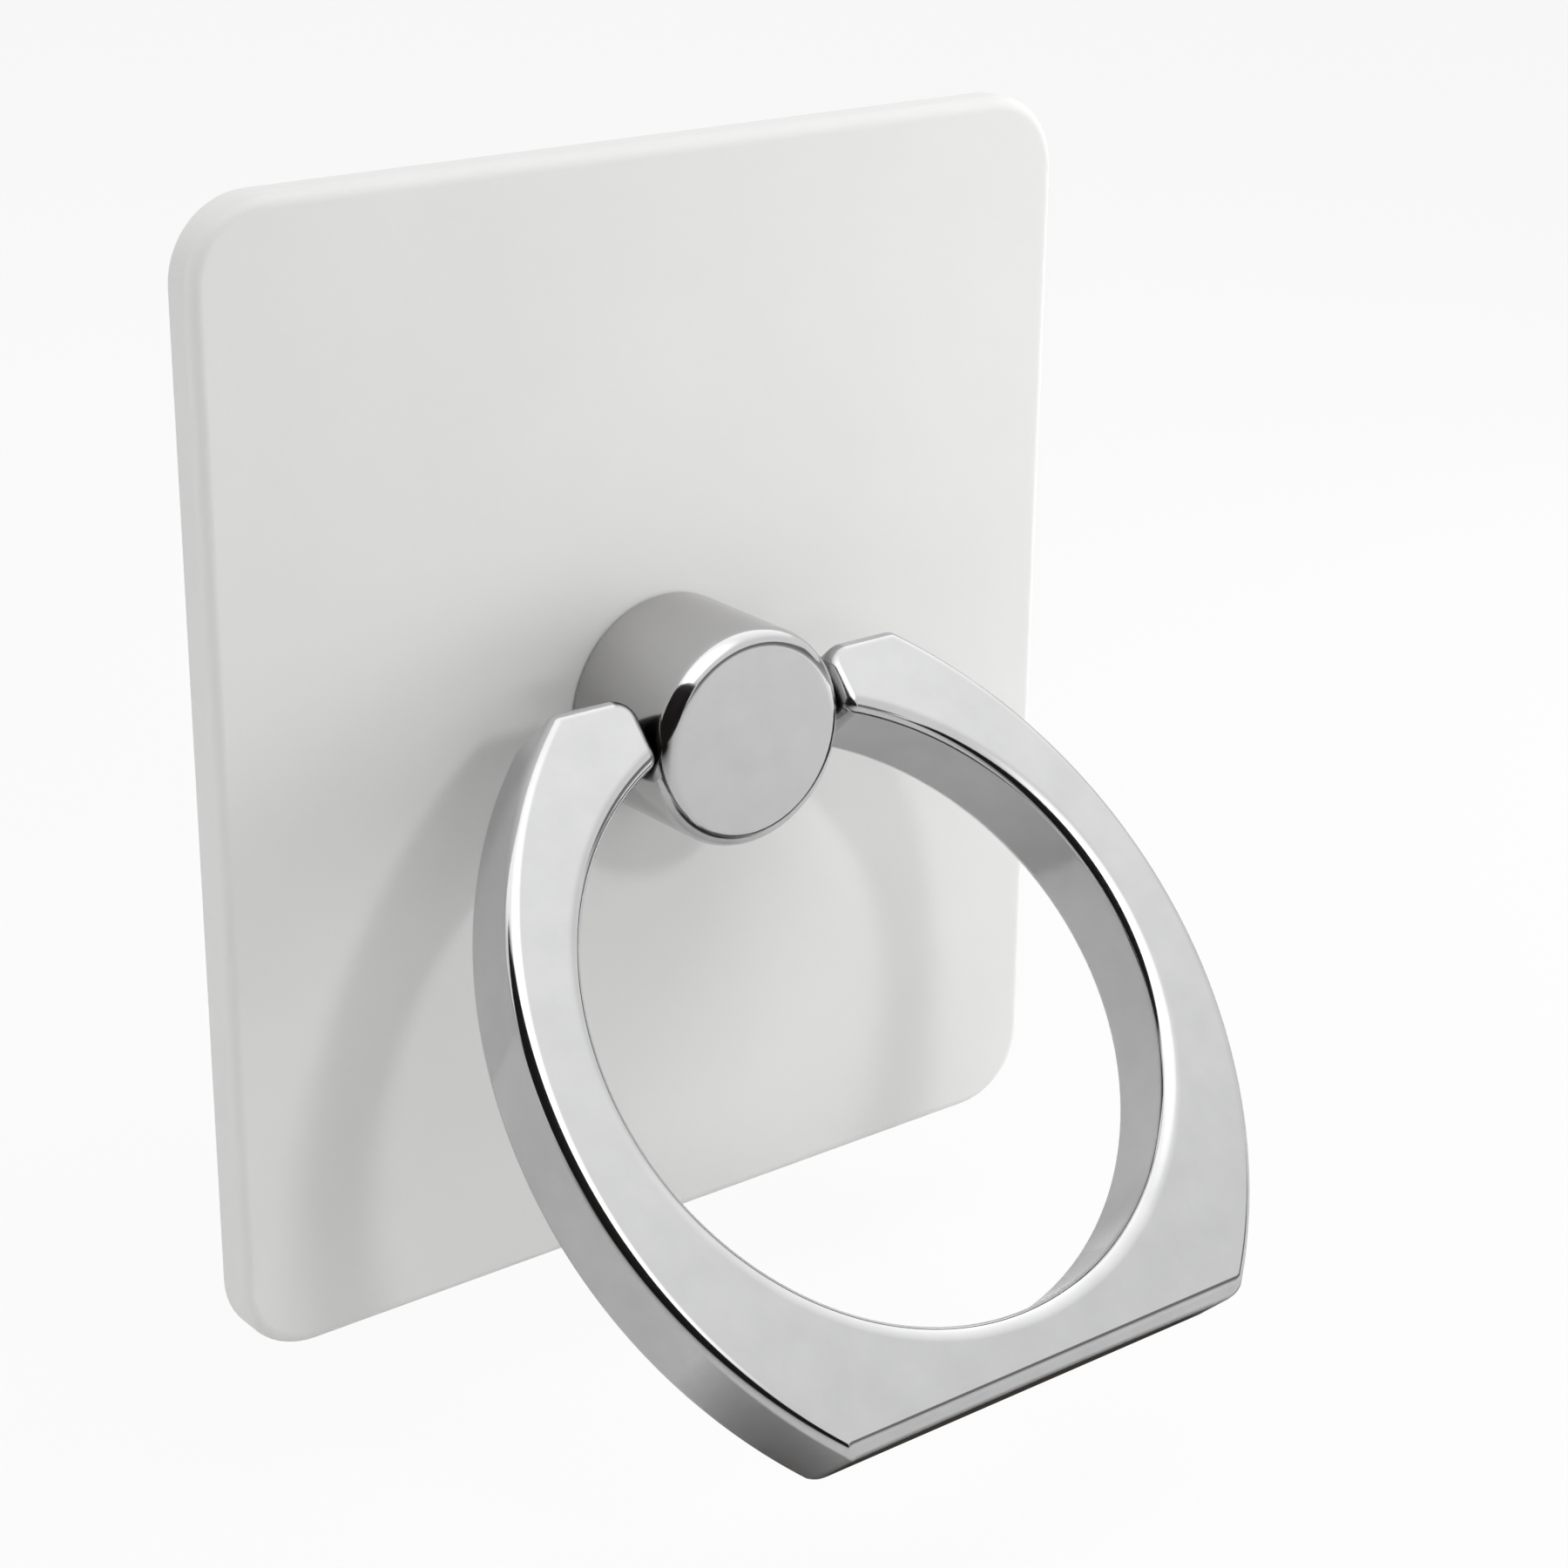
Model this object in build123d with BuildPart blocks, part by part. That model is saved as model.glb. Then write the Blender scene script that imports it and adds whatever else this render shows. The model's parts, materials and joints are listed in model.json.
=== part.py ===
from build123d import *
import os

# Stick-on phone ring holder: a flat moulded plate, a turned swivel post and a cast finger ring.
# Millimetres. The plate stands upright with its front towards -Y and +Z up. The origin is the
# centre of the adhesive face that meets the phone, and heights are counted from there, along -Y.

os.makedirs("parts", exist_ok=True)

# Base plate and its adhesive pad
plate_width = 35.0
plate_height = 39.5
plate_thickness = 2.4
plate_corner_radius = 2.75
plate_edge_radius = 0.45    # round along the front edge
back_bevel = 1.1            # hides the back half of the plate from the front
pad_thickness = 0.8
pad_inset = 2.0             # from the plate's outline
pad_corner_radius = 1.0

# Swivel post, turned
post_diameter = 7.7
post_length = 5.2           # in front of the plate
post_rise = 0.5             # post axis above the middle of the plate
post_rim_radius = 0.6
post_base_break = 0.12      # bevel where the post meets the plate
pivot_setback = 1.6         # ring pivot behind the post's front face
stem_diameter = 4.5
tenon_diameter = 3.7
tenon_flats = 3.0           # across the two flats that key the retaining washer
tenon_relief = 0.05         # tenon stops short, so the screw clamps the washer

# Swivel stack behind the plate
friction_washer_thickness = 0.3
friction_washer_diameter = 8.4
spring_gauge = 0.18
spring_cone = 0.12
spring_diameter = 7.8
spring_bore = 5.0
retaining_washer_thickness = 0.3
retaining_washer_diameter = 8.0
screw_diameter = 2.0
screw_length = 3.0          # under the head
screw_point_room = 0.4      # tapped hole beyond the screw's end
screw_head_diameter = 4.4
screw_head_height = 0.5
screw_head_round = 0.2
cross_recess_span = 2.2
cross_recess_width = 0.45
cross_recess_depth = 0.3

# Finger ring, cast in one piece with its pivot studs
ring_tilt = 43.0            # degrees out from the plate
ring_thickness = 3.2
finger_hole_diameter = 21.7
finger_hole_drop = 0.2      # top of the hole below the pivot
ring_side_band = 2.55       # band at the widest point
ring_foot_band = 2.25       # band at the flat foot
ring_head = 1.5             # ends above the pivot
ring_arc_radius = 17.4      # each outer side
ring_arc_drop = 0.8         # widest point below the middle of the hole
ring_corner_radius = 0.6    # foot, and ends at the hole
ring_shoulder_radius = 0.6  # ends at the outer arcs
ring_end_radius = 0.9       # ends at the post
ring_edge_break = 0.3       # bevel along the front and back edges
ring_hole_break = 0.45      # wider bevel round the finger hole
ring_foot_break = 0.6       # wider bevel along the foot
stud_diameter = 1.5
stud_length = 1.5           # out of the ring's end
stud_root = 0.6             # inside the ring's end
stud_lead = 0.2             # chamfer that lets the studs snap in

# Fits
running_gap = 0.05          # radial, stem in plate and studs in post
face_gap = 0.02             # axial, between faces that turn on each other
thread_gap = 0.02           # radial, screw in post
key_gap = 0.05              # washer on the tenon
spring_gap = 0.3            # radial, loose pieces in the recess and on the stem
head_gap = 0.08             # screw head to the adhesive pad
ring_end_gap = 0.15         # ring ends to the post

# Heights of the stack, from the phone to the front
plate_back = pad_thickness
screw_seat = plate_back + head_gap + screw_head_height
stem_end = screw_seat + retaining_washer_thickness
spring_back = stem_end + face_gap
friction_back = spring_back + spring_gauge + spring_cone
recess_floor = friction_back + friction_washer_thickness
plate_front = plate_back + plate_thickness
post_shoulder = plate_front + face_gap
post_front = plate_front + post_length
pivot_height = post_front - pivot_setback

# Radii that follow from the sizes above
post_radius = post_diameter / 2
stem_radius = stem_diameter / 2
tenon_radius = tenon_diameter / 2
screw_radius = screw_diameter / 2
stud_radius = stud_diameter / 2
hole_radius = finger_hole_diameter / 2
recess_radius = friction_washer_diameter / 2 + spring_gap

# Reference planes: local z points out of the front
back_plane = Plane.XZ
post_plane = Plane(origin=(0, 0, post_rise), x_dir=(1, 0, 0), z_dir=(0, -1, 0))
post_axis = Axis((0, 0, post_rise), (0, -1, 0))
# Half section of the turned pieces: local x is the radius, local y the height
section_plane = Plane(origin=(0, 0, post_rise), x_dir=(1, 0, 0), z_dir=(0, 0, -1))
# Middle plane of the ring, with its origin on the pivot axis and local y towards the ring's ends
ring_plane = post_plane.offset(pivot_height).rotated((-ring_tilt, 0, 0))
# Side view of the ring: local x runs from the foot to the ends
ring_side_plane = Plane(origin=ring_plane.origin, x_dir=ring_plane.y_dir, z_dir=(1, 0, 0))

# Base plate: one moulding with a counterbored hole for the swivel
with BuildPart() as base_plate:
    with BuildSketch(back_plane.offset(plate_back)):
        RectangleRounded(plate_width, plate_height, plate_corner_radius)
    extrude(amount=plate_thickness)
    fillet(base_plate.faces().sort_by(Axis.Y)[0].edges(), radius=plate_edge_radius)
    chamfer(base_plate.faces().sort_by(Axis.Y)[-1].edges(), length=back_bevel)
    with Locations(-post_plane.offset(plate_back)):
        CounterBoreHole(
            radius=stem_radius + running_gap,
            counter_bore_radius=recess_radius,
            counter_bore_depth=recess_floor - plate_back,
        )
base_plate.part.label = "base_plate"
export_step(base_plate.part, "parts/base_plate.step")

# Adhesive pad: a die-cut sheet that closes the swivel's recess
with BuildPart() as adhesive_pad:
    with BuildSketch(back_plane):
        RectangleRounded(plate_width - 2 * pad_inset, plate_height - 2 * pad_inset, pad_corner_radius)
    extrude(amount=pad_thickness)
adhesive_pad.part.label = "adhesive_pad"
export_step(adhesive_pad.part, "parts/adhesive_pad.step")

# Swivel post: turned with a stem and a keyed tenon, cross-drilled for the ring, tapped from behind
with BuildPart() as swivel_post:
    tenon_end = screw_seat + tenon_relief
    with BuildSketch(section_plane):
        with BuildLine():
            Polyline(
                (0, tenon_end),
                (tenon_radius, tenon_end),
                (tenon_radius, stem_end),
                (stem_radius, stem_end),
                (stem_radius, post_shoulder),
                (post_radius - post_base_break, post_shoulder),
                (post_radius, post_shoulder + post_base_break),
                (post_radius, post_front),
                (0, post_front),
                close=True,
            )
        make_face()
    revolve(axis=post_axis)
    fillet(swivel_post.edges().filter_by(GeomType.CIRCLE).sort_by(Axis.Y)[0], radius=post_rim_radius)
    with BuildSketch(post_plane.offset(tenon_end)):
        Circle(stem_radius)
        Rectangle(stem_diameter, tenon_flats, mode=Mode.SUBTRACT)
    extrude(amount=stem_end - tenon_end, mode=Mode.SUBTRACT)
    with BuildSketch(post_plane.offset(tenon_end)):
        Circle(screw_radius + thread_gap)
    extrude(amount=screw_seat + screw_length + screw_point_room - tenon_end, mode=Mode.SUBTRACT)
    with BuildSketch(Plane.YZ):
        with Locations((-pivot_height, post_rise)):
            Circle(stud_radius + running_gap)
    extrude(amount=post_radius, both=True, mode=Mode.SUBTRACT)
swivel_post.part.label = "swivel_post"
export_step(swivel_post.part, "parts/swivel_post.step")

# Friction washer: nylon, on the floor of the recess
with BuildPart() as friction_washer:
    with BuildSketch(post_plane.offset(friction_back)):
        Circle(friction_washer_diameter / 2)
        Circle(stem_radius + running_gap, mode=Mode.SUBTRACT)
    extrude(amount=friction_washer_thickness)
friction_washer.part.label = "friction_washer"
export_step(friction_washer.part, "parts/friction_washer.step")

# Disc spring: a shallow cone that keeps the post pulled onto the plate
with BuildPart() as disc_spring:
    with BuildSketch(section_plane):
        with BuildLine():
            Polyline(
                (spring_bore / 2, spring_back),
                (spring_bore / 2, spring_back + spring_gauge),
                (spring_diameter / 2, friction_back),
                (spring_diameter / 2, friction_back - spring_gauge),
                close=True,
            )
        make_face()
    revolve(axis=post_axis)
disc_spring.part.label = "disc_spring"
export_step(disc_spring.part, "parts/disc_spring.step")

# Retaining washer: keyed to the tenon so that turning the ring can't loosen the screw
with BuildPart() as retaining_washer:
    with BuildSketch(post_plane.offset(screw_seat)):
        Circle(retaining_washer_diameter / 2)
        with BuildSketch(mode=Mode.SUBTRACT):
            Circle(tenon_radius + key_gap)
            Rectangle(tenon_diameter + 2 * key_gap, tenon_flats + 2 * key_gap, mode=Mode.INTERSECT)
    extrude(amount=retaining_washer_thickness)
retaining_washer.part.label = "retaining_washer"
export_step(retaining_washer.part, "parts/retaining_washer.step")

# Retaining screw: wafer head with a cross recess
with BuildPart() as retaining_screw:
    with BuildSketch(post_plane.offset(screw_seat)):
        Circle(screw_head_diameter / 2)
    extrude(amount=-screw_head_height)
    fillet(retaining_screw.faces().sort_by(Axis.Y)[-1].edges(), radius=screw_head_round)
    with BuildSketch(post_plane.offset(screw_seat)):
        Circle(screw_radius)
    extrude(amount=screw_length)
    with BuildSketch(post_plane.offset(screw_seat - screw_head_height)):
        Rectangle(cross_recess_span, cross_recess_width)
        Rectangle(cross_recess_width, cross_recess_span)
    extrude(amount=cross_recess_depth, mode=Mode.SUBTRACT)
retaining_screw.part.label = "retaining_screw"
export_step(retaining_screw.part, "parts/retaining_screw.step")

# Finger ring: two outer arcs meet a flat foot, and the ends close on the post
with BuildPart() as finger_ring:
    hole_centre = -finger_hole_drop - hole_radius
    foot = hole_centre - hole_radius - ring_foot_band
    end_gap = post_diameter + 2 * ring_end_gap
    arc_shift = ring_arc_radius - hole_radius - ring_side_band
    arc_centre = hole_centre - ring_arc_drop
    with BuildSketch(ring_plane):
        with Locations((-arc_shift, arc_centre)):
            Circle(ring_arc_radius)
        with Locations((arc_shift, arc_centre)):
            Circle(ring_arc_radius, mode=Mode.INTERSECT)
        with Locations((0, foot)):
            Rectangle(
                2 * ring_arc_radius,
                ring_head - foot,
                align=(Align.CENTER, Align.MIN),
                mode=Mode.INTERSECT,
            )
        with Locations((0, hole_centre)):
            Circle(hole_radius, mode=Mode.SUBTRACT)
            Rectangle(
                end_gap,
                2 * hole_radius,
                align=(Align.CENTER, Align.MIN),
                mode=Mode.SUBTRACT,
            )
        fillet(vertices().filter_by(lambda corner: corner.Y < 0), radius=ring_corner_radius)
        head_corners = vertices().group_by(Axis.Y)[-1].sort_by(lambda corner: abs(corner.X))
        fillet(head_corners[2:], radius=ring_shoulder_radius)
        head_corners = vertices().group_by(Axis.Y)[-1].sort_by(lambda corner: abs(corner.X))
        fillet(head_corners[:2], radius=ring_end_radius)
    extrude(amount=ring_thickness / 2, both=True)
    chamfer(finger_ring.faces().filter_by(ring_plane).edges(), length=ring_edge_break)
    for side in (1, -1):
        with BuildSketch(ring_plane.offset(side * ring_thickness / 2)):
            with Locations((0, hole_centre)):
                Circle(hole_radius + ring_hole_break)
        extrude(amount=-side * ring_hole_break, taper=45, mode=Mode.SUBTRACT)
    with BuildSketch(ring_side_plane):
        with Locations((foot, 0)):
            Rectangle(ring_head - foot, ring_thickness, align=(Align.MIN, Align.CENTER))
        chamfer(vertices().group_by(Axis.X)[0], length=ring_foot_break)
    extrude(amount=ring_arc_radius, both=True, mode=Mode.INTERSECT)
    with BuildSketch(Plane.YZ.offset(end_gap / 2 - stud_length)):
        with Locations((-pivot_height, post_rise)):
            Circle(stud_radius)
    stud = extrude(amount=stud_length + stud_root)
    mirror(stud, about=Plane.YZ)
    stud_ends = finger_ring.faces().filter_by(Axis.X).sort_by(lambda face: abs(face.center().X))[:2]
    chamfer(stud_ends.edges(), length=stud_lead)
finger_ring.part.label = "finger_ring"
export_step(finger_ring.part, "parts/finger_ring.step")
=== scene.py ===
import json
import math
import bpy
from mathutils import Matrix, Vector


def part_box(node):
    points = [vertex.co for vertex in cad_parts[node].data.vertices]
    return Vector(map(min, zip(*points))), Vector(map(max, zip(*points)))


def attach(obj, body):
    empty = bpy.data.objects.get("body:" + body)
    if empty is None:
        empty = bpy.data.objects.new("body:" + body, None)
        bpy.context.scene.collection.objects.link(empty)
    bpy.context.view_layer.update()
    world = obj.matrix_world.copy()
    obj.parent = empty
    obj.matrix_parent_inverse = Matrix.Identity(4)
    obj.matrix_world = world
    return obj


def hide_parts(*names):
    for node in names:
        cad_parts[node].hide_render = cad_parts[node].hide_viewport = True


# Stick-on phone ring holder: satin white plate, chromed post that turns, ring that tilts on the post
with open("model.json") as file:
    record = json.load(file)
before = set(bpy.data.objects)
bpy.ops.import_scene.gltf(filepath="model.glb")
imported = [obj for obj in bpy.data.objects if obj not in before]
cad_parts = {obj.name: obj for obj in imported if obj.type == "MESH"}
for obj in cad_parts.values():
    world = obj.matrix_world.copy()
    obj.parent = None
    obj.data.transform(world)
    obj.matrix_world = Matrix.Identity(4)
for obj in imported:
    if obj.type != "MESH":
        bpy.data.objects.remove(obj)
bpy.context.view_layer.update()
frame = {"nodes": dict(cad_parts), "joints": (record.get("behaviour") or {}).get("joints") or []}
nodes = frame["nodes"]
joints = {joint["name"]: joint for joint in frame["joints"]}
mm = 0.001
print("frame loaded:", ", ".join(sorted(nodes)))


def linear(hexCode):  # sRGB hex to linear rgba
    channels = [int(hexCode[i:i + 2], 16) / 255 for i in (1, 3, 5)]
    return [c / 12.92 if c <= 0.04045 else ((c + 0.055) / 1.055) ** 2.4 for c in channels] + [1.0]


def addNode(tree, kind, settings={}, links={}):  # settings are properties or sockets, links go into sockets
    made = tree.nodes.new("ShaderNode" + kind)
    for name, value in settings.items():
        if name in made.inputs:
            made.inputs[name].default_value = value
        else:
            setattr(made, name, value)
    for name, source in links.items():
        tree.links.new(source, made.inputs[name])
    return made


def newMaterial(name):
    material = bpy.data.materials.new(name)
    material.use_nodes = True
    material.node_tree.nodes.clear()
    return material, material.node_tree


def dress(piece, material):
    piece.data.materials.clear()
    piece.data.materials.append(material)


def grainScale(size):  # texture scale for a feature of this many mm
    return 1 / (size * mm)


# Mesh building: an outline is a list of (point, outward normal, edge), 2D and in mm. The edge is how far its
# round goes in from the side, how deep it goes from the face, and its share of painted shade there: the
# near-black gap shade where the ring's ends close on the post
gapShadeFade = 2  # the painted gap shade is full up to a round's last third, and gone where the round meets the face


def arcRun(centre, radius, start, end, steps, first, last=None, hollow=False):
    run, last = [], last or first
    for k in range(steps + 1):
        a, f = math.radians(start + (end - start) * k / steps), k / steps
        out = Vector((math.cos(a), math.sin(a)))
        edge = [x + (y - x) * f for x, y in zip(first, last)]
        run.append((Vector(centre) + out * radius, -out if hollow else out, edge))
    return run


def mirrored(run):  # the other half, met from the far end
    return [(Vector((-p.x, p.y)), Vector((-n.x, n.y)), edge) for p, n, edge in reversed(run)]


def roundedSlab(outlineAt, half, steps):  # outlineAt(t): outline drawn in by t of its rounds
    quarter = [90 * k / steps for k in range(steps + 1)]
    rows = [(-1, angle) for angle in reversed(quarter)] + [(1, angle) for angle in quarter]
    points, normals, gapShadesAndDulling, faces = [], [], [], []
    for side, angle in rows:
        c, d = math.cos(math.radians(angle)), math.sin(math.radians(angle))
        for p, n, (inset, depth, gapShadeAndDulling) in outlineAt(1 - c):
            points.append(Vector((p.x, p.y, side * (half - depth * (1 - d)))))
            normals.append(Vector((n.x * c * depth, n.y * c * depth, side * d * inset)).normalized())
            gapShadesAndDulling.append(min(gapShadeAndDulling * gapShadeFade * c, 1))
    count = len(points) // len(rows)
    for r in range(len(rows) - 1):
        for k in range(count):
            m = (k + 1) % count
            faces.append((r * count + k, r * count + m, (r + 1) * count + m, (r + 1) * count + k))
    faces.append(tuple(reversed(range(count))))
    faces.append(tuple(range((len(rows) - 1) * count, len(rows) * count)))
    return points, normals, gapShadesAndDulling, faces


def turned(profile, steps, gapShadeAndDulling):  # lathe work round z: profile is (radius, height, slope of the normal)
    points, normals, faces = [], [], []
    for radius, height, slope in profile:
        for k in range(steps):
            a = 2 * math.pi * k / steps
            points.append(Vector((radius * math.cos(a), radius * math.sin(a), height)))
            c = math.cos(math.radians(slope))
            normals.append(Vector((c * math.cos(a), c * math.sin(a), math.sin(math.radians(slope)))))
    for r in range(len(profile) - 1):
        for k in range(steps):
            m = (k + 1) % steps
            faces.append((r * steps + k, r * steps + m, (r + 1) * steps + m, (r + 1) * steps + k))
    faces.append(tuple(reversed(range(steps))))
    faces.append(tuple(range((len(profile) - 1) * steps, len(profile) * steps)))
    return points, normals, [gapShadeAndDulling] * len(points), faces


# the point attribute holds the share of duller plating on the post, and of painted gap shade on the ring
def addPiece(name, mesh, gapShadesAndDulling, body, slot, *stoodFor):
    mesh.attributes.new("gapShadeAndDulling", "FLOAT", "POINT").data.foreach_set("value", gapShadesAndDulling)
    piece = bpy.data.objects.new(name, mesh)
    bpy.context.scene.collection.objects.link(piece)
    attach(piece, body)
    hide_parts(*stoodFor)
    return piece


def makePiece(name, shapes, body, slot, *stoodFor):  # shapes: (points, normals, painted gap shade shares, faces, placing matrix)
    points, normals, gapShadesAndDulling, faces = [], [], [], []
    for shapePoints, shapeNormals, shapeGapShades, shapeFaces, place in shapes:
        first = len(points)
        points += [place @ (p * mm) for p in shapePoints]
        normals += [(place.to_3x3() @ n).normalized() for n in shapeNormals]
        gapShadesAndDulling += shapeGapShades
        faces += [tuple(first + i for i in face) for face in shapeFaces]
    mesh = bpy.data.meshes.new(name)
    mesh.from_pydata(points, [], faces)
    mesh.polygons.foreach_set("use_smooth", [True] * len(mesh.polygons))
    mesh.normals_split_custom_set_from_vertices(normals)
    return addPiece(name, mesh, gapShadesAndDulling, body, slot, *stoodFor)


def axes(origin, x, y, z):  # placing matrix from an origin in metres and three directions
    place = Matrix((x, y, z)).transposed().to_4x4()
    place.translation = origin
    return place


# Finger ring: two outer arcs drawn in to a flat foot, ends that close on the post
ringShape = {
    "thickness": 3.2,
    "hole": 10.85,          # radius
    "holeCentre": -11.05,   # below the tilt pivot
    "arc": 17.4,            # radius of each side's outer arc
    "arcCentre": (-4.0, -11.85),
    "foot": -24.15,
    "head": 1.5,
    "gap": 4.0,             # half of the gap between the ends
    "corner": 0.6,          # foot, and ends at the hole
    "shoulder": 0.6,        # ends at the outer arcs
    "nose": 0.9,            # ends at the post
    "noseTurn": 102,        # degrees round the nose where its painted gap shade is full
    "crease": 0.08,         # what is left of each corner on the faces
    "noseCrease": 0.48,     # and of the nose
    "rounds": {"side": (0.42, 0.42, 0), "head": (0.4, 0.4, 0), "nose": (0.45, 0.5, 1),
               "end": (0.45, 0.6, 1), "hole": (0.6, 0.42, 0), "foot": (0.72, 0.8, 0)},
    "endGapShade": (1.0, 0.3),  # painted gap shade at the left and right ends
    "stud": 0.75,           # radius
    "studReach": (2.5, 4.6),
    "studBevel": 0.2,
    "steps": {"corner": 10, "arc": 72, "shoulder": 8, "noseTop": 2, "hole": 96, "round": 8, "stud": 32},
}


def ringOutline(s, t):
    rounds, steps = s["rounds"], s["steps"]
    hole, arc = s["hole"] + t * rounds["hole"][0], s["arc"] - t * rounds["side"][0]
    foot, head = s["foot"] + t * rounds["foot"][0], s["head"] - t * rounds["head"][0]
    gap, drop = s["gap"] + t * rounds["end"][0], s["holeCentre"]
    corner, shoulder = (s[k] + (s["crease"] - s[k]) * t for k in ("corner", "shoulder"))
    nose = s["nose"] + (s["noseCrease"] - s["nose"]) * t
    ax, ay = s["arcCentre"]
    footY, headY = foot + corner, head - shoulder
    footX = ax + math.sqrt((arc - corner) ** 2 - (footY - ay) ** 2)
    headX = ax + math.sqrt((arc - shoulder) ** 2 - (headY - ay) ** 2)
    lipX = gap + corner
    lipY = drop + math.sqrt((hole + corner) ** 2 - lipX ** 2)
    low = math.degrees(math.atan2(footY - ay, footX - ax))
    high = math.degrees(math.atan2(headY - ay, headX - ax))
    lip = math.degrees(math.atan2(lipY - drop, lipX))
    half = arcRun((footX, footY), corner, -90, low, steps["corner"], rounds["foot"], rounds["side"])
    half += arcRun((ax, ay), arc, low, high, steps["arc"], rounds["side"])[1:]
    half += arcRun((headX, headY), shoulder, high, 90, steps["shoulder"], rounds["side"], rounds["head"])[1:]
    tip, full = (gap + nose, head - nose), s["noseTurn"]
    half += arcRun(tip, nose, 90, full, steps["noseTop"], rounds["head"], rounds["nose"])
    half += arcRun(tip, nose, full, 180, steps["corner"], rounds["nose"], rounds["end"])[1:]
    half += arcRun((lipX, lipY), corner, 180, 180 + lip, steps["corner"], rounds["end"], rounds["hole"])
    half += arcRun((0, drop), hole, lip, -90, steps["hole"], rounds["hole"], hollow=True)[1:-1]
    left, right = ([(p, n, (i, d, gapShadeAndDulling * share)) for p, n, (i, d, gapShadeAndDulling) in half] for share in s["endGapShade"])
    return right + [(Vector((0, drop - hole)), Vector((0, 1)), rounds["hole"])] + mirrored(left)


pivot = Vector(joints["ring_tilt"]["pos_m"])
tilt = math.radians(-joints["ring_tilt"]["range_deg"][0])
ringPlace = axes(pivot, Vector((1, 0, 0)), Vector((0, math.sin(tilt), math.cos(tilt))),
                 Vector((0, -math.cos(tilt), math.sin(tilt))))
ringSteps = ringShape["steps"]
ringBody = roundedSlab(lambda t: ringOutline(ringShape, t), ringShape["thickness"] / 2, ringSteps["round"])
stud, bevel, (studTip, studRoot) = (ringShape[k] for k in ("stud", "studBevel", "studReach"))
studProfile = [(stud - bevel, studTip, -45), (stud, studTip + bevel, 0), (stud, studRoot, 0)]
# the studs get full painted shade: they sit in the dark gap between the ring's ends and the post
studBody = turned(studProfile, ringSteps["stud"], gapShadeAndDulling=1.0)
leftStud = ringPlace @ axes(Vector(), Vector((0, 0, 1)), Vector((0, 1, 0)), Vector((-1, 0, 0)))
rightStud = ringPlace @ axes(Vector(), Vector((0, 0, -1)), Vector((0, 1, 0)), Vector((1, 0, 0)))
fingerRing = makePiece("fingerRing", [(*ringBody, ringPlace), (*studBody, leftStud), (*studBody, rightStud)],
                       "ring", "chrome_ring", "finger_ring")
print("finger ring:", len(fingerRing.data.polygons), "faces")

# Swivel post: the turned body itself, with the true normals of lathe work on its face, rim and side
postShape = {
    "radius": 3.85,
    "rim": 0.6,          # radius of the round between face and side
    "dullingAndShade": (0.3, 0.7),  # the plating turns duller this far behind the face
}
postMesh = nodes["swivel_post"].data.copy()
postMesh.name = "swivelPost"
postFront = Vector((0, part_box("swivel_post")[0].y, joints["swivel_turn"]["pos_m"][2]))
postPoints = [(vertex.co - postFront) / mm for vertex in postMesh.vertices]


def latheNormals(mesh, points, s, near=0.02, level=0.002):  # play in mm for what counts as rim and as face
    normals = [Vector(corner.vector) for corner in mesh.corner_normals]
    for polygon in mesh.polygons:
        around = [points[i] for i in polygon.vertices]
        wide = min(math.hypot(p.x, p.z) for p in around)
        first, last = min(p.y for p in around), max(p.y for p in around)
        for corner, p in zip(polygon.loop_indices, around):
            out = Vector((p.x, 0, p.z)).normalized()
            if last < level:
                normals[corner] = Vector((0, -1, 0))
            elif wide > s["radius"] - s["rim"] - near and last < s["rim"] + near:
                normals[corner] = (p - out * (s["radius"] - s["rim"]) - Vector((0, s["rim"], 0))).normalized()
            elif wide > s["radius"] - near and first > s["rim"] - near:
                normals[corner] = out
    return normals


postMesh.polygons.foreach_set("use_smooth", [True] * len(postMesh.polygons))
postMesh.normals_split_custom_set(latheNormals(postMesh, postPoints, postShape))
dullFrom, dullTo = postShape["dullingAndShade"]
postFilm = [min(max((p.y - dullFrom) / (dullTo - dullFrom), 0), 1) for p in postPoints]
swivelPost = addPiece("swivelPost", postMesh, postFilm, "swivel", "chrome_post", "swivel_post")
print("swivel post:", len(postMesh.polygons), "faces")

# Adhesive pad: die-cut foam tape, its edges eased by the knife
padShape = {"corner": 1.0, "eased": (0.1, 0.1, 0), "cornerSteps": 10, "roundSteps": 4}


def padOutline(halfWidth, halfHeight, s, t):
    run, inset = [], t * s["eased"][0]
    for k, (sx, sy) in enumerate(((1, -1), (1, 1), (-1, 1), (-1, -1))):
        centre = (sx * (halfWidth - s["corner"]), sy * (halfHeight - s["corner"]))
        run += arcRun(centre, s["corner"] - inset, -90 + 90 * k, 90 * k, s["cornerSteps"], s["eased"])
    return run


padLow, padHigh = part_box("adhesive_pad")
padPlace = axes((padLow + padHigh) / 2, Vector((1, 0, 0)), Vector((0, 0, 1)), Vector((0, -1, 0)))
padSize = (padHigh - padLow) / 2 / mm
padBody = roundedSlab(lambda t: padOutline(padSize.x, padSize.z, padShape, t), padSize.y,
                      padShape["roundSteps"])
adhesivePad = makePiece("adhesivePad", [(*padBody, padPlace)], "base", "adhesive_foam", "adhesive_pad")
print("adhesive pad:", len(adhesivePad.data.polygons), "faces")


# Materials. A colour Mix has its two colours in inputs 6 and 7 and gives its result in output 2

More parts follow.
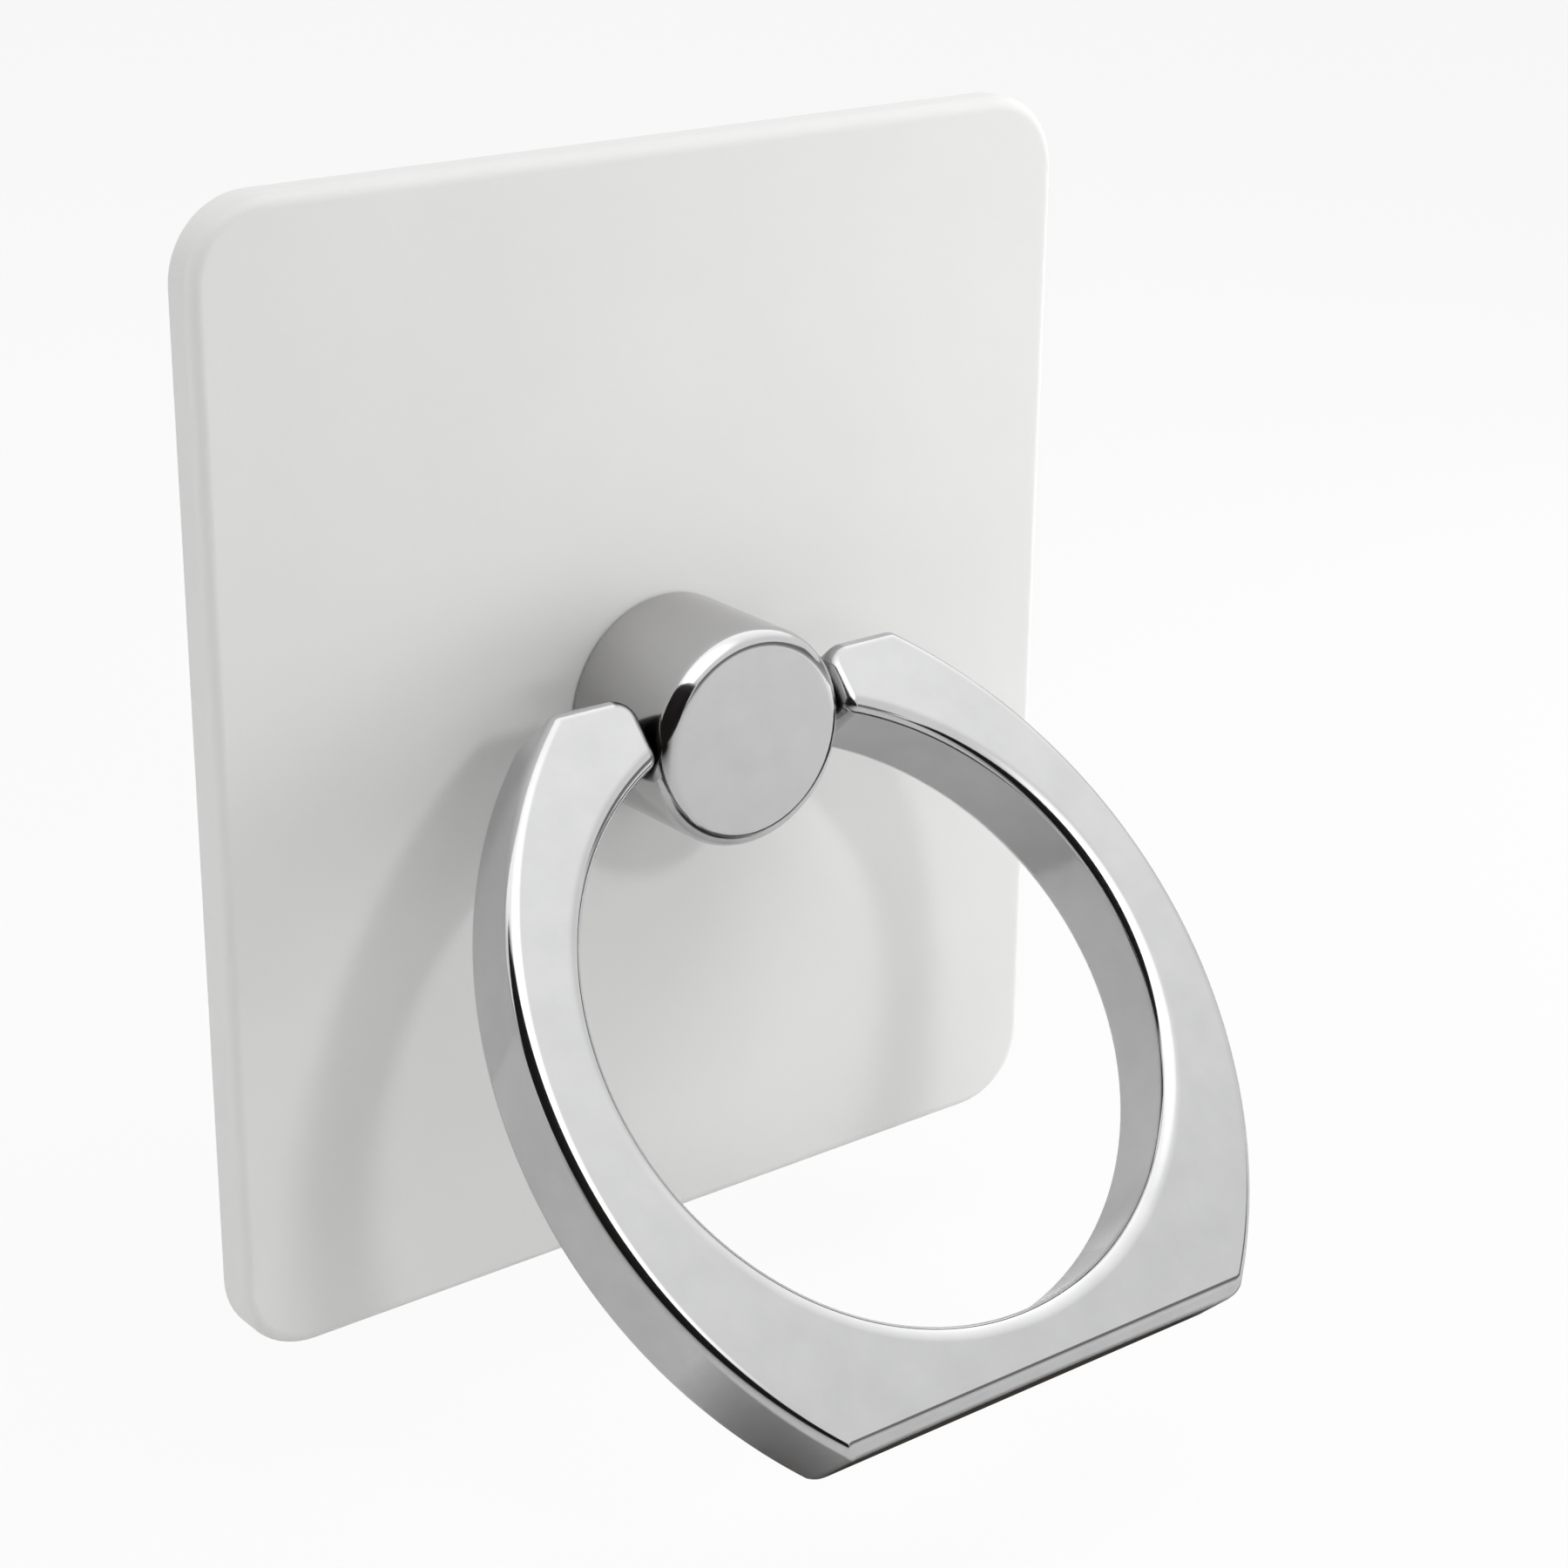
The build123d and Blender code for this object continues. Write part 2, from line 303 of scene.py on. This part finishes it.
# Moulded ABS with a fine spark texture: an even satin white, its sheen broken up too finely to see
def mouldedAbs():
    look = {"tones": ("#F2F2F1", "#EBEBEA"), "cloud": 9.0, "grain": 0.16, "roughness": (0.40, 0.48),
            "bump": (0.12, 0.02)}  # strength, and depth in mm
    material, tree = newMaterial("moulded ABS, satin white")
    place = addNode(tree, "TexCoord").outputs["Object"]
    cloud = addNode(tree, "TexNoise", {"Scale": grainScale(look["cloud"]), "Detail": 3.0}, {"Vector": place})
    grain = addNode(tree, "TexNoise", {"Scale": grainScale(look["grain"]), "Detail": 2.0}, {"Vector": place})
    colour = addNode(tree, "Mix", {"data_type": "RGBA"}, {"Factor": cloud.outputs["Fac"]})
    colour.inputs[6].default_value, colour.inputs[7].default_value = (linear(tone) for tone in look["tones"])
    sheen = addNode(tree, "MapRange", {"To Min": look["roughness"][0], "To Max": look["roughness"][1]},
                    {"Value": grain.outputs["Fac"]})
    strength, depth = look["bump"]
    bump = addNode(tree, "Bump", {"Strength": strength, "Distance": depth * mm},
                   {"Height": grain.outputs["Fac"]})
    shader = addNode(tree, "BsdfPrincipled", {"IOR": 1.54},
                     {"Base Color": colour.outputs[2], "Roughness": sheen.outputs["Result"],
                      "Normal": bump.outputs["Normal"]})
    addNode(tree, "OutputMaterial", {}, {"Surface": shader.outputs["BSDF"]})
    return material


# Bright chrome on zinc: a mirror with a little haze, gently wavy from polishing under the plating. On the
# post's side, where the wheel doesn't reach, the blend makes it duller and darker; at the ring's ends and
# studs it is painted shade
def chromedZinc(name, wave, depth, dullingAndShade):  # wave and depth in mm
    look = {"metal": ("#CDCDCE", "#BFBFC0"), "haze": (0.07, 0.12), "cloud": 1.4}
    material, tree = newMaterial(name)
    place = addNode(tree, "TexCoord").outputs["Object"]
    cloud = addNode(tree, "TexNoise", {"Scale": grainScale(look["cloud"]), "Detail": 4.0}, {"Vector": place})
    wavy = addNode(tree, "TexNoise", {"Scale": grainScale(wave), "Detail": 1.0}, {"Vector": place})
    haze = addNode(tree, "MapRange", {"To Min": look["haze"][0], "To Max": look["haze"][1]},
                   {"Value": cloud.outputs["Fac"]})
    # share per point: duller plating on the post, painted shade in the gap at the ring's ends
    gapShadeAndDulling = addNode(tree, "Attribute", {"attribute_name": "gapShadeAndDulling"}).outputs["Fac"]
    metal = addNode(tree, "Mix", {"data_type": "RGBA"}, {"Factor": cloud.outputs["Fac"]})
    metal.inputs[6].default_value, metal.inputs[7].default_value = (linear(tone) for tone in look["metal"])
    colour = addNode(tree, "Mix", {"data_type": "RGBA"}, {"Factor": gapShadeAndDulling})
    tree.links.new(metal.outputs[2], colour.inputs[6])
    colour.inputs[7].default_value = linear(dullingAndShade["metal"])
    roughness = addNode(tree, "Math", {"operation": "MULTIPLY_ADD"})
    tree.links.new(gapShadeAndDulling, roughness.inputs[0])
    roughness.inputs[1].default_value = dullingAndShade["haze"]
    tree.links.new(haze.outputs["Result"], roughness.inputs[2])
    bump = addNode(tree, "Bump", {"Strength": 1.0, "Distance": depth * mm}, {"Height": wavy.outputs["Fac"]})
    shader = addNode(tree, "BsdfPrincipled", {"Metallic": 1.0},
                     {"Base Color": colour.outputs[2], "Roughness": roughness.outputs[0],
                      "Normal": bump.outputs["Normal"]})
    addNode(tree, "OutputMaterial", {}, {"Surface": shader.outputs["BSDF"]})
    return material


# Acrylic foam tape: grey closed cells under a tacky skin
def foamTape():
    look = {"tones": ("#868788", "#9B9C9D"), "cell": 0.22, "roughness": (0.45, 0.7),
            "bump": (0.3, 0.05)}  # strength, and depth in mm
    material, tree = newMaterial("acrylic foam tape")
    place = addNode(tree, "TexCoord").outputs["Object"]
    cells = addNode(tree, "TexVoronoi", {"Scale": grainScale(look["cell"])}, {"Vector": place})
    colour = addNode(tree, "Mix", {"data_type": "RGBA"}, {"Factor": cells.outputs["Distance"]})
    colour.inputs[6].default_value, colour.inputs[7].default_value = (linear(tone) for tone in look["tones"])
    tack = addNode(tree, "MapRange", {"To Min": look["roughness"][0], "To Max": look["roughness"][1]},
                   {"Value": cells.outputs["Distance"]})
    strength, depth = look["bump"]
    bump = addNode(tree, "Bump", {"Strength": strength, "Distance": depth * mm},
                   {"Height": cells.outputs["Distance"]})
    shader = addNode(tree, "BsdfPrincipled", {"IOR": 1.47},
                     {"Base Color": colour.outputs[2], "Roughness": tack.outputs["Result"],
                      "Normal": bump.outputs["Normal"]})
    addNode(tree, "OutputMaterial", {}, {"Surface": shader.outputs["BSDF"]})
    return material


# Rolled and turned steels of the swivel stack: a patchy sheen from fine working marks
def turnedSteel(name, metal, roughness, mark):
    material, tree = newMaterial(name)
    place = addNode(tree, "TexCoord").outputs["Object"]
    marks = addNode(tree, "TexNoise", {"Scale": grainScale(mark), "Detail": 3.0}, {"Vector": place})
    haze = addNode(tree, "MapRange", {"To Min": roughness[0], "To Max": roughness[1]},
                   {"Value": marks.outputs["Fac"]})
    shader = addNode(tree, "BsdfPrincipled", {"Base Color": linear(metal), "Metallic": 1.0},
                     {"Roughness": haze.outputs["Result"]})
    addNode(tree, "OutputMaterial", {}, {"Surface": shader.outputs["BSDF"]})
    return material


# Punched nylon sheet: milky, waxy to the light
def punchedNylon():
    look = {"tones": ("#E9E6DC", "#DFDBCE"), "milk": 0.8, "roughness": 0.42}
    material, tree = newMaterial("punched nylon")
    place = addNode(tree, "TexCoord").outputs["Object"]
    milk = addNode(tree, "TexNoise", {"Scale": grainScale(look["milk"]), "Detail": 2.0}, {"Vector": place})
    colour = addNode(tree, "Mix", {"data_type": "RGBA"}, {"Factor": milk.outputs["Fac"]})
    colour.inputs[6].default_value, colour.inputs[7].default_value = (linear(tone) for tone in look["tones"])
    shader = addNode(tree, "BsdfPrincipled", {"IOR": 1.53, "Roughness": look["roughness"]},
                     {"Base Color": colour.outputs[2]})
    addNode(tree, "OutputMaterial", {}, {"Surface": shader.outputs["BSDF"]})
    return material


dress(nodes["base_plate"], mouldedAbs())
dress(swivelPost, chromedZinc("chromed zinc, turned post", wave=4.0, depth=0.004,
                              dullingAndShade={"metal": "#B6B5B5", "haze": 0.06}))
# the ring's near-black blend tone is painted shade for the gap where its ends close on the post
dress(fingerRing, chromedZinc("chromed zinc, cast ring", wave=3.0, depth=0.006,
                              dullingAndShade={"metal": "#1D1A18", "haze": 0.25}))
dress(adhesivePad, foamTape())
dress(nodes["friction_washer"], punchedNylon())
steels = {
    "disc_spring": {"name": "blued spring steel", "metal": "#6E7075",
                    "roughness": (0.28, 0.38), "mark": 0.5},
    "retaining_washer": {"name": "rolled stainless steel", "metal": "#B4B2AE",
                         "roughness": (0.22, 0.34), "mark": 0.4},
    "retaining_screw": {"name": "zinc-plated steel", "metal": "#C2C1BD",
                        "roughness": (0.20, 0.32), "mark": 0.4},
}
for name, steel in steels.items():
    dress(nodes[name], turnedSteel(**steel))
print("materials:", len(bpy.data.materials))

# Camera where the photograph was taken from: degrees and mm
cameraPlace = {"azimuth": 38.621, "elevation": 21.35, "roll": 0.689, "distance": 120.692,
               "target": (5.419, -3.2, -3.942), "focalPixels": 3841.5, "imagePixels": 1800,
               "sensor": 36, "clip": (5, 20000)}
azimuth, elevation, roll = (math.radians(cameraPlace[k]) for k in ("azimuth", "elevation", "roll"))
back = Vector((-math.sin(azimuth) * math.cos(elevation), -math.cos(azimuth) * math.cos(elevation),
               math.sin(elevation)))
level = Vector((math.cos(azimuth), -math.sin(azimuth), 0))
rise = back.cross(level)
right = math.cos(roll) * level + math.sin(roll) * rise
lens = bpy.data.cameras.new("camera")
lens.sensor_width = cameraPlace["sensor"]
lens.lens = cameraPlace["sensor"] * cameraPlace["focalPixels"] / cameraPlace["imagePixels"]
lens.clip_start, lens.clip_end = (way * mm for way in cameraPlace["clip"])
camera = bpy.data.objects.new("camera", lens)
camera.matrix_world = axes((Vector(cameraPlace["target"]) + back * cameraPlace["distance"]) * mm,
                           right, back.cross(right), back)
bpy.context.scene.collection.objects.link(camera)
bpy.context.scene.camera = camera


# White room: the eye and the mirrors see white air and a white card floor, the lamps do the lighting
room = {
    "ambient": 0.12,             # light that the air itself gives
    "floor": "#EDEDED",
    "floorWhite": (0.92, 0.25),  # share of plain white that the eye and the mirrors see on the floor
    "floorHalf": 1500,
    "floorGap": 0.25,            # below the ring's foot where the ring hangs down
}
world = bpy.data.worlds.new("white room")
world.use_nodes = True
tree = world.node_tree
tree.nodes.clear()
rays = addNode(tree, "LightPath").outputs
seen = addNode(tree, "Math", {"operation": "ADD", "use_clamp": True})
mirror = addNode(tree, "Math", {"operation": "ADD", "use_clamp": True})
for ray, sumNode, k in ((rays["Is Glossy Ray"], mirror, 0), (rays["Is Transmission Ray"], mirror, 1),
                        (rays["Is Camera Ray"], seen, 0), (mirror.outputs[0], seen, 1)):
    tree.links.new(ray, sumNode.inputs[k])
ambient = addNode(tree, "Background", {"Color": linear("#FFFFFF"), "Strength": room["ambient"]})
white = addNode(tree, "Background", {"Color": linear("#FFFFFF"), "Strength": 1.0})
air = addNode(tree, "MixShader", {}, {"Fac": seen.outputs[0]})
tree.links.new(ambient.outputs[0], air.inputs[1])
tree.links.new(white.outputs[0], air.inputs[2])
addNode(tree, "OutputWorld", {}, {"Surface": air.outputs[0]})
bpy.context.scene.world = world

floorMaterial, tree = newMaterial("white card floor")
rays = addNode(tree, "LightPath").outputs
mirror = addNode(tree, "Math", {"operation": "ADD", "use_clamp": True})
tree.links.new(rays["Is Glossy Ray"], mirror.inputs[0])
tree.links.new(rays["Is Transmission Ray"], mirror.inputs[1])
inMirror = addNode(tree, "Math", {"operation": "MULTIPLY"})
tree.links.new(mirror.outputs[0], inMirror.inputs[0])
inMirror.inputs[1].default_value = room["floorWhite"][1]
whiteShare = addNode(tree, "Math", {"operation": "MULTIPLY_ADD"})
tree.links.new(rays["Is Camera Ray"], whiteShare.inputs[0])
whiteShare.inputs[1].default_value = room["floorWhite"][0]
tree.links.new(inMirror.outputs[0], whiteShare.inputs[2])
shadowed = addNode(tree, "BsdfDiffuse", {"Color": linear(room["floor"])})
plain = addNode(tree, "Emission", {"Color": linear("#FFFFFF"), "Strength": 1.0})
card = addNode(tree, "MixShader", {}, {"Fac": whiteShare.outputs[0]})
tree.links.new(shadowed.outputs[0], card.inputs[1])
tree.links.new(plain.outputs[0], card.inputs[2])
addNode(tree, "OutputMaterial", {}, {"Surface": card.outputs[0]})
reachOut = room["floorHalf"] * mm
floorLevel = pivot.z + (ringShape["foot"] - room["floorGap"]) * mm
floorMesh = bpy.data.meshes.new("floor")
floorCorners = [(x * reachOut, y * reachOut, floorLevel) for x, y in ((-1, -1), (1, -1), (1, 1), (-1, 1))]
floorMesh.from_pydata(floorCorners, [], [(0, 1, 2, 3)])
floor = bpy.data.objects.new("floor", floorMesh)
bpy.context.scene.collection.objects.link(floor)
dress(floor, floorMaterial)

# Soft lamps aimed at the middle of the plate: they light it, but mirrors don't show them
lamps = {
    "keyLamp": {"place": (20, -230, 120), "size": (30, 30), "power": 0.095},
    "fillLamp": {"place": (-30, -257, 23), "size": (170, 45), "power": 0.056},
    "sideLamp": {"place": (118, -44, 28), "size": (130, 120), "power": 0.129},
    "topLamp": {"place": (40, -40, 220), "size": (240, 200), "power": 0.246},
    "wallLamp": {"place": (-200, 45, 40), "size": (120, 120), "power": 0.153},
}
for name, lamp in lamps.items():
    light = bpy.data.lights.new(name, "AREA")
    light.shape = "RECTANGLE"
    light.size, light.size_y = (side * mm for side in lamp["size"])
    light.energy = lamp["power"]
    softbox = bpy.data.objects.new(name, light)
    softbox.location = Vector(lamp["place"]) * mm
    softbox.rotation_euler = softbox.location.to_track_quat("Z", "Y").to_euler()
    softbox.visible_glossy = False
    bpy.context.scene.collection.objects.link(softbox)


# Cards that only the chrome sees: bright ones overhead for its white edges, dark ones for its black lines
def levelCorners(x0, y0, x1, y1, height):
    return [(x0, y0, height), (x1, y0, height), (x1, y1, height), (x0, y1, height)]


screen = {  # stands round the left of the object
    "radius": 200,
    "foot": -6,  # degrees of elevation, seen from the origin
    "top": ((-124, 28), (-115, 42), (-90, 46), (-60, 48), (-33, 39), (-10, 23), (2, 11)),  # and azimuth
}
screenEdge = [*screen["top"], *((turn, screen["foot"]) for turn, lift in reversed(screen["top"]))]
screenCorners = [(screen["radius"] * math.sin(math.radians(turn)),
                  -screen["radius"] * math.cos(math.radians(turn)),
                  screen["radius"] * math.tan(math.radians(lift))) for turn, lift in screenEdge]
cards = {  # those with a middle fade from there, between the full share and all of their reach along x and y
    "ceilingCard": {"corners": levelCorners(-300, -200, 420, 320, 150), "colour": "#FFFFFF", "strength": 2.4,
                    "middle": (100, 260), "reach": (445, 445), "full": 0.0, "most": 1.0},
    "edgeCard": {"corners": levelCorners(-340, -360, 120, 90, 149), "colour": "#FFFFFF", "strength": 2.4,
                 "middle": (-90, -150), "reach": (185, 185), "full": 0.5, "most": 1.0},
    "darkScreen": {"corners": screenCorners, "colour": "#1F1D1C", "strength": 1.0},
    "darkFloor": {"corners": levelCorners(-240, -200, 20, 60, -19.73), "colour": "#141312", "strength": 1.0,
                  "middle": (-120, -75), "reach": (115, 115), "full": 0.45, "most": 1.0},
    "horizonCard": {"corners": ((40, -330, -10), (330, -120, -10), (330, -120, 50), (40, -330, 50)),
                    "colour": "#86827F", "strength": 1.0},
    # painted shadow of the ring's foot on the floor, which only the chrome sees
    "footShade": {"corners": levelCorners(-22, -32, 24, -12, -19.7), "colour": "#3A3633", "strength": 1.0,
                  "middle": (1, -20.3), "reach": (18, 5.5), "full": 0.5, "most": 1.0},
    # painted shadow, a little warm, on the floor under the finger hole, which only the chrome sees
    "holeShade": {"corners": levelCorners(-24, -24, 24, 12, -19.65), "colour": "#4A4440", "strength": 1.0,
                  "middle": (0, -6), "reach": (22, 16), "full": 0.3, "most": 0.3},
}
for name, card in cards.items():
    material, tree = newMaterial(name)
    face = addNode(tree, "Emission", {"Color": linear(card["colour"]), "Strength": card["strength"]})
    if "middle" in card:
        scale = [grainScale(reach) for reach in card["reach"]]
        offset = [-middle * mm * k for middle, k in zip(card["middle"], scale)]
        place = addNode(tree, "Mapping", {"Scale": (*scale, 0), "Location": (*offset, 0)},
                        {"Vector": addNode(tree, "TexCoord").outputs["Object"]})
        way = addNode(tree, "VectorMath", {"operation": "LENGTH"}, {"Vector": place.outputs["Vector"]})
        share = addNode(tree, "MapRange", {"From Min": 1.0, "From Max": card["full"], "To Max": card["most"]},
                        {"Value": way.outputs["Value"]})
        faded = addNode(tree, "MixShader", {}, {"Fac": share.outputs["Result"]})
        tree.links.new(addNode(tree, "BsdfTransparent").outputs[0], faded.inputs[1])
        tree.links.new(face.outputs[0], faded.inputs[2])
        face = faded
    addNode(tree, "OutputMaterial", {}, {"Surface": face.outputs[0]})
    mesh = bpy.data.meshes.new(name)
    corners = [Vector(corner) * mm for corner in card["corners"]]
    mesh.from_pydata(corners, [], [tuple(range(len(corners)))])
    sheet = bpy.data.objects.new(name, mesh)
    bpy.context.scene.collection.objects.link(sheet)
    dress(sheet, material)
    sheet.visible_camera = sheet.visible_diffuse = sheet.visible_shadow = sheet.visible_transmission = False
print("lamps and room are set")

bpy.context.scene.view_settings.view_transform = "Standard"
